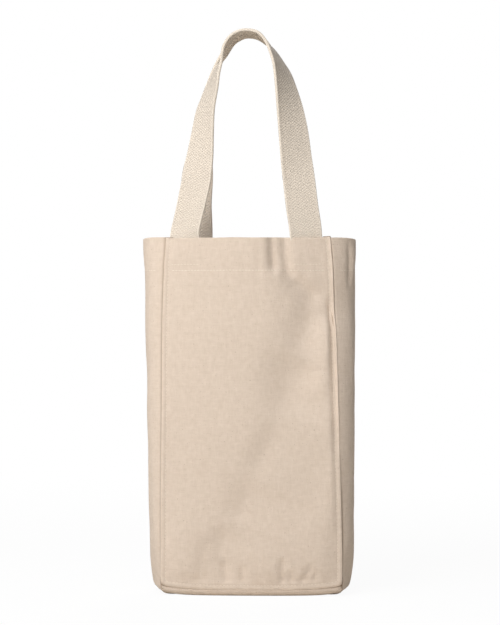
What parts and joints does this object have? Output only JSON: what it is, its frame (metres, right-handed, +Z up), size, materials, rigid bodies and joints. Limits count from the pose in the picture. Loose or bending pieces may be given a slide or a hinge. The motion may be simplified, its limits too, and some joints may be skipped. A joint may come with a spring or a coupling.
{
  "type": "bottle carrier",
  "caption": "Boxed canvas tote that carries wine bottles side by side behind a divider, with lapped stitched seams, a deep hem and webbing handles that fold down.",
  "frame": {"origin": "on the floor under the middle of the bag's bottom", "axes": "+Z up along the bag's height, -Y out of the front panel, +X to the right as seen from the front"},
  "size_m": [0.2108, 0.098, 0.5583],
  "materials": {
    "canvas": "natural undyed cotton canvas, plain weave, matt",
    "webbing": "natural cotton webbing, herringbone weave, matt",
    "thread": "natural cotton sewing thread, matt"
  },
  "bodies": {
    "bag": {"front_panel": "canvas", "back_panel": "canvas", "left_gusset": "canvas", "right_gusset": "canvas", "bottom_panel": "canvas", "divider": "canvas", "front_left_strap_end": "webbing", "front_right_strap_end": "webbing", "back_left_strap_end": "webbing", "back_right_strap_end": "webbing", "front_panel_stitching": "thread", "back_panel_stitching": "thread", "front_hem_stitching": "thread", "back_hem_stitching": "thread", "gusset_hem_stitching": "thread", "front_strap_tacks": "thread", "back_strap_tacks": "thread", "divider_stitching": "thread"},
    "front_handle": {"front_handle": "webbing"},
    "back_handle": {"back_handle": "webbing"}
  },
  "joints": [
    {"name": "front_handle_fold", "type": "hinge", "parent": "bag", "child": "front_handle", "pos_m": [0, -0.0457, 0.35], "axis": [1, 0, 0], "range_deg": [0, 175]},
    {"name": "back_handle_fold", "type": "hinge", "parent": "bag", "child": "back_handle", "pos_m": [0, 0.0457, 0.35], "axis": [-1, 0, 0], "range_deg": [0, 175]}
  ]
}
